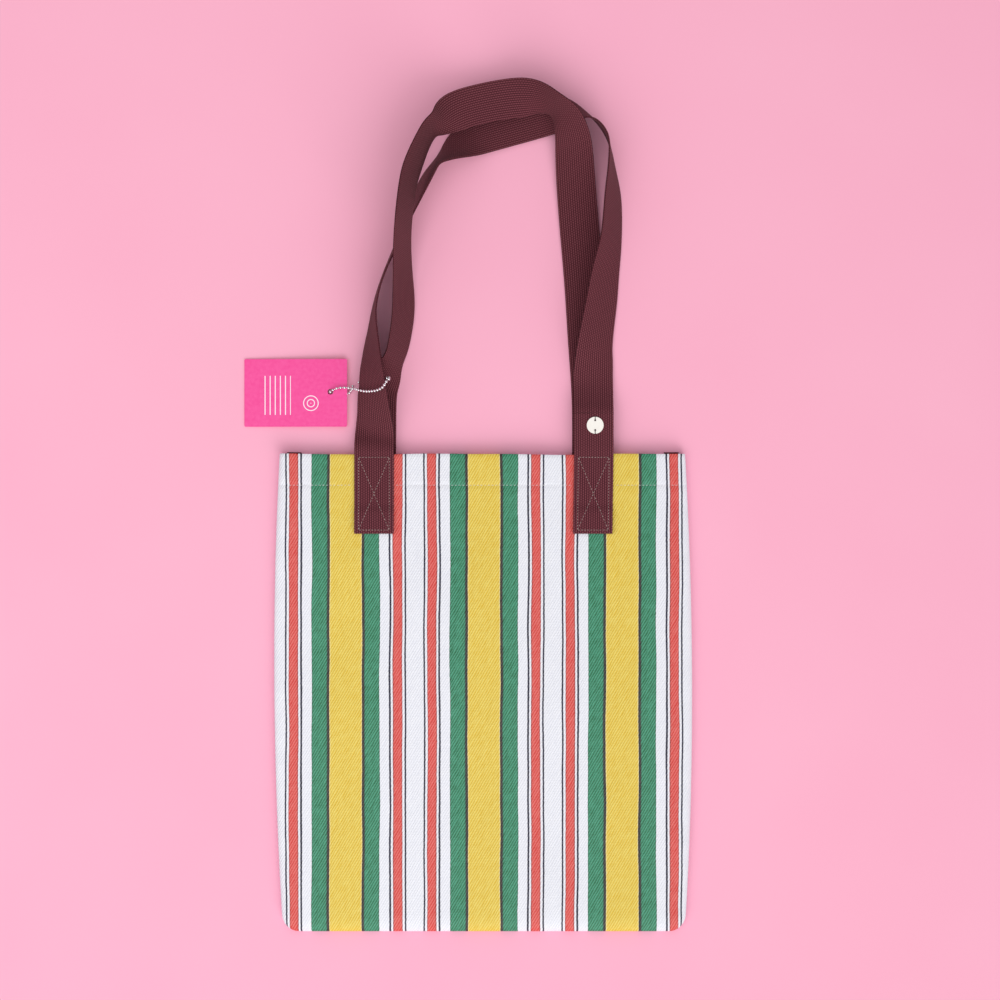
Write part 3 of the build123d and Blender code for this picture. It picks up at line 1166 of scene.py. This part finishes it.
@dataclass
class BindingTape:
    """The tape that binds a side seam inside the bag; its end peeps out of the mouth.

    Sizes are in mm. Both tapes lie to the left by their skew, because the mouth does.
    """

    width: float = 12.0
    foot: float = -183.0
    top: float = 197.0
    inset: float = 154.4
    skew: float = 1.1
    level: float = 2.3
    thickness: float = 0.9
    rows: int = 60

    def build(self, side: Side, material: bpy.types.Material) -> bpy.types.Object:
        """Builds the tape of one side.

        Args:
            side: The side of the bag.
            material: The tape's finish.

        Returns:
            The piece, which stands for that side's tape in the frame.
        """
        shape = bmesh.new()
        bmesh.ops.create_grid(shape, x_segments=6, y_segments=self.rows, size=1.0)
        weave = shape.loops.layers.uv.new(WEAVE_UV)
        length = self.top - self.foot
        for face in shape.faces:
            for loop in face.loops:
                spot = loop.vert.co
                loop[weave].uv = (spot.x * self.width / 2 * MM, spot.y * length / 2 * MM)
        for vertex in shape.verts:
            along = (vertex.co.y + 1) / 2
            curl = 0.35 * vertex.co.x**2
            sway = 0.6 * noise.noise(Vector((along * 5, side.value, 0.3)))
            vertex.co = Vector(
                (
                    side.value * self.inset - self.skew + vertex.co.x * self.width / 2 + sway,
                    self.foot + along * length,
                    self.level + curl,
                )
            )
            vertex.co *= MM
        bmesh.ops.recalc_face_normals(shape, faces=shape.faces)
        label = side.name.lower()
        piece = make_piece(f"{label}_binding_tape", shape, material)
        give_thickness(piece, self.thickness * MM, 0.0)
        round_edges(piece, 0.25 * MM)
        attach(piece, Body.BAG.value)
        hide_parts(f"{label}_seam_binding")
        return piece


@dataclass
class Hardware:
    """The metal disc with its thread tacks, the ball chain and the card tag. Sizes are in mm."""

    disc_x: float = 90.6
    disc_y: float = 218.8
    disc_top: float = 13.0
    hole_offset: float = 4.0
    rim: float = 6.9
    strands: int = 2
    strand_gap: float = 0.3
    thread_radius: float = 0.17
    overlap: float = 0.15
    knot: float = 0.75

    def tacks(self, material: bpy.types.Material) -> bpy.types.Object:
        """Builds the thread tacks: strands from each hole out over the rim, and a knot in it.

        Args:
            material: The thread's finish.

        Returns:
            The piece, which stands for the frame's threads.
        """
        shape = bmesh.new()
        for way in (-1, 1):
            for strand in range(self.strands):
                shift = self.strand_gap * (strand - (self.strands - 1) / 2)
                profile = (
                    (self.hole_offset - 0.35, -0.9),
                    (self.hole_offset - 0.1, 0.12),
                    (self.hole_offset + 0.6, 0.3),
                    (self.rim - 0.5, 0.28),
                    (self.rim + 0.12, -0.1),
                    (self.rim + 0.35, -1.1),
                )
                points = [
                    Vector(
                        (self.disc_x + shift, self.disc_y + way * reach, self.disc_top + rise)
                    )
                    for reach, rise in profile
                ]
                for start, end in zip(points, points[1:]):
                    reach = (end - start).normalized() * self.overlap
                    add_stitch(shape, start - reach, end + reach, self.thread_radius)
            hole = Vector((self.disc_x, self.disc_y + way * self.hole_offset, self.disc_top))
            ends = Vector((self.knot, 0, 0))
            add_stitch(shape, hole - ends, hole + ends, self.knot)
        piece = make_piece("disc_tacks", shape, material)
        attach(piece, Body.HANDLES.value)
        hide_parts("disc_threads")
        return piece

    def dress(self, nodes: dict[str, bpy.types.Object]) -> None:
        """Gives the frame's own metal and card nodes their finishes."""
        # The disc's near-white colour with little metal is a painted reflection of the bright lamp
        # in the plated disc.
        disc = BrushedMetal(
            name="pale metal, painted reflection", colour="FFFDF6", worn_colour="F6F2E8", metallic=0.18
        ).material()
        chain = BrushedMetal(
            name="bright nickel plate",
            roughness=0.16,
            colour="F2F2F2",
            worn_colour="D2D2D6",
            grain=0.25,
        ).material()
        card = PrintedCard().material()
        finishes = {
            "metal_disc": disc,
            "chain_round_strap": chain,
            "chain_to_tag": chain,
            "chain_connector": chain,
            "swing_tag": card,
        }
        for node, material in finishes.items():
            mesh = nodes[node].data
            mesh.materials.clear()
            mesh.materials.append(material)
            log.info("%s: %s", node, material.name)


@dataclass
class Studio:
    """A pale table top, soft lamps and a camera that looks straight down. Sizes are in metres."""

    centre_x: float = 0.0131
    centre_y: float = 0.1579
    height: float = 1.6
    field: float = 0.8205

    def build(self) -> None:
        """Builds the camera, the lamps and the table top."""
        bpy.context.scene.view_settings.view_transform = "Standard"
        self.camera()
        self.table()
        self.key()
        self.overhead()
        self.surroundings()

    def surroundings(self) -> None:
        """Adds an even room, which lights the bag almost white and is itself seen as dusky pink."""
        world = bpy.data.worlds.new("studio")
        world.use_nodes = True
        tree = world.node_tree
        tree.nodes.clear()
        path = add_node(tree, "LightPath")
        light = add_node(tree, "Background", {0: (1.0, 0.965, 0.99, 1.0), 1: 0.54})
        seen = add_node(tree, "Background", {0: hex_colour("D9A3B6"), 1: 1.0})
        mixed = add_node(tree, "MixShader", {0: path.outputs["Is Camera Ray"], 1: light, 2: seen})
        out = add_node(tree, "OutputWorld", {0: mixed})
        out.is_active_output = True
        bpy.context.scene.world = world

    def key(self) -> None:
        """Adds the key light, broad and low, from the foot of the bag and a little to its right."""
        data = bpy.data.lights.new("key light", "SUN")
        data.energy = 1.1
        data.angle = math.radians(40)
        self.aim(data, (0.8, -1.5, 1.15))

    def camera(self) -> None:
        """Adds the camera."""
        data = bpy.data.cameras.new("camera")
        data.sensor_width = 36.0
        data.lens = data.sensor_width * self.height / self.field
        data.dof.use_dof = False
        camera = bpy.data.objects.new("camera", data)
        camera.location = (self.centre_x, self.centre_y, self.height)
        bpy.context.scene.collection.objects.link(camera)
        bpy.context.scene.camera = camera

    def overhead(self) -> None:
        """Adds a large square soft lamp above the bag, to the left of its foot."""
        data = bpy.data.lights.new("overhead lamp", "AREA")
        data.size = 2.2
        data.energy = 15.0
        self.aim(data, (-0.45, -0.5, 1.6))

    def aim(self, data: bpy.types.Light, place: tuple[float, float, float]) -> None:
        """Puts a lamp at a place in metres, facing the middle of the view."""
        lamp = bpy.data.objects.new(data.name, data)
        lamp.location = place
        way = Vector((self.centre_x, self.centre_y, 0)) - Vector(place)
        lamp.rotation_euler = way.to_track_quat("-Z", "Y").to_euler()
        bpy.context.scene.collection.objects.link(lamp)

    def table(self) -> None:
        """Adds the table top, which is not part of the bag."""
        shape = bmesh.new()
        place = Matrix.Translation((0, 0, -0.0002))
        bmesh.ops.create_grid(shape, x_segments=1, y_segments=1, size=40.0, matrix=place)
        table = make_piece("table_top", shape, PaintedTable().material())


def main() -> None:
    """Builds the studio, then the bag's pieces around the frame, and notes their size."""
    logging.basicConfig(
        level=logging.INFO,
        format="%(relativeCreated)d %(name)s %(message)s",
        stream=sys.stdout,
    )
    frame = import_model()
    Studio().build()

    webbing = RibbedWebbing().material()
    front = HandleStrap("front_handle_strap", "front_handle", FRONT_ROUTE, 10.0, 89.6, lean=0.015)
    back = HandleStrap("back_handle_strap", "back_handle", BACK_ROUTE, 0.0, 88.2)
    front.build(webbing)
    back.build(webbing)

    cloth = BagCloth()
    cloth.build(StripedTwill().material())
    cloth.hem_stitches(
        SewingThread(name="white polyester thread", colour="F2F0F0", shade="C9C6CC").material()
    )

    patch_thread = SewingThread(name="mauve polyester thread").material()
    shape = bmesh.new()
    front.stitches(shape, 1)
    back.stitches(shape, -1)
    stitching = make_piece("patch_stitching", shape, patch_thread)
    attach(stitching, Body.BAG.value)

    # Like the webbing, the tape has painted shade in its rib grooves and a painted highlight on its
    # rib crowns.
    tape = RibbedWebbing(
        name="grosgrain tape, wine", column=0.9, row=1.1, rib_height=0.15, yarn_colour="5E1F2A"
    ).material()
    for side in Side:
        BindingTape().build(side, tape)

    hardware = Hardware()
    hardware.dress(frame["nodes"])
    hardware.tacks(
        SewingThread(name="dark polyester thread", colour="4A2A2E", shade="2A1518").material()
    )


if __name__ == "__main__":
    main()
